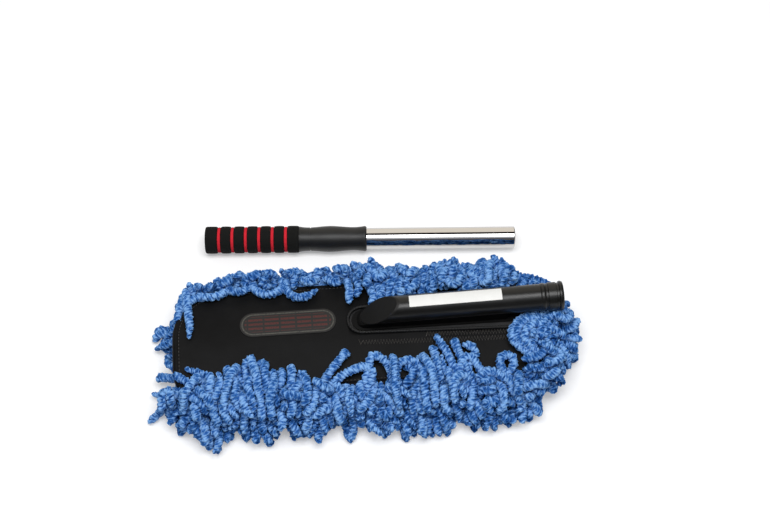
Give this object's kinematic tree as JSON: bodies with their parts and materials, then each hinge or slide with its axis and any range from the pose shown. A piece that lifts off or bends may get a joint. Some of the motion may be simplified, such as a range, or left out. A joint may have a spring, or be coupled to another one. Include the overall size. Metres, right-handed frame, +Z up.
{
  "type": "feather duster",
  "caption": "Flat fringed duster head in a slip-off cloth cover, with a tube socket on top, and a separate telescopic twist-lock handle with a foam grip.",
  "frame": {"origin": "middle of the footprint of the head and handle as they lie, on the floor", "axes": "+X along the head towards the socket's mouth, +Y across towards the handle lying behind it, +Z up"},
  "size_m": [0.418, 0.2472, 0.0796],
  "materials": {
    "frame_plastic": "black injection-moulded plastic, fine matt grain",
    "socket_plastic": "black injection-moulded plastic, satin gloss",
    "label": "white self-adhesive paper label, bare",
    "cover_cloth": "black close-knit laminated cloth, smooth",
    "binding_cloth": "black woven binding tape, rolled",
    "badge": "thin printed transfer, dull red bars in grey lines",
    "fringe": "blue twisted cotton loops",
    "chrome_tube": "bright chromed steel tube",
    "steel_tube": "plain bright steel tube",
    "collar": "dark grey moulded plastic, soft sheen",
    "grip_foam": "black closed-cell foam",
    "grip_stripe": "red closed-cell foam",
    "inner_plastic": "natural nylon",
    "clip_steel": "spring steel"
  },
  "bodies": {
    "head": {"frame_plate": "frame_plastic", "handle_socket": "socket_plastic", "socket_skirt": "socket_plastic", "label": "label"},
    "cover": {"cover_top": "cover_cloth", "cover_rim": "cover_cloth", "cover_base": "cover_cloth", "slot_binding": "binding_cloth", "badge_patch": "badge", "fringe_under": "fringe", "fringe_nose": "fringe", "fringe_end": "fringe", "fringe_back": "fringe", "fringe_front": "fringe"},
    "handle_tube": {"outer_tube": "chrome_tube", "collar": "collar", "guide_bush": "inner_plastic"},
    "sleeve": {"lock_sleeve": "inner_plastic"},
    "grip": {"inner_tube": "steel_tube", "end_plug": "collar", "foam_1": "grip_foam", "red_ring_1": "grip_stripe", "foam_2": "grip_foam", "red_ring_2": "grip_stripe", "foam_3": "grip_foam", "red_ring_3": "grip_stripe", "foam_4": "grip_foam", "red_ring_4": "grip_stripe", "foam_5": "grip_foam", "red_ring_5": "grip_stripe", "foam_6": "grip_foam", "red_ring_6": "grip_stripe", "foam_7": "grip_foam", "lock_stud": "inner_plastic", "stop_clip": "clip_steel"},
    "cone": {"lock_cone": "inner_plastic"}
  },
  "joints": [
    {"name": "cover_pull", "type": "slide", "parent": "head", "child": "cover", "axis": [-1, 0, 0], "range_m": [0, 0.42]},
    {"name": "handle_lift", "type": "slide", "parent": "head", "child": "handle_tube", "axis": [0, 0, 1], "range_m": [0, 0.15]},
    {"name": "tube_extend", "type": "slide", "parent": "handle_tube", "child": "sleeve", "axis": [-0.9981, 0.0623, 0], "range_m": [0, 0.15]},
    {"name": "grip_twist", "type": "hinge", "parent": "sleeve", "child": "grip", "pos_m": [-0.1513, 0.10989, 0.0138], "axis": [0.9981, -0.0623, 0], "range_deg": [0, 180]},
    {"name": "lock_draw", "type": "slide", "parent": "sleeve", "child": "cone", "axis": [-0.9981, 0.0623, 0], "range_m": [0, 0.002]}
  ],
  "couplings": [
    {"joint": "lock_draw", "follows": "grip_twist", "m_per_rad": 0.00063656}
  ]
}
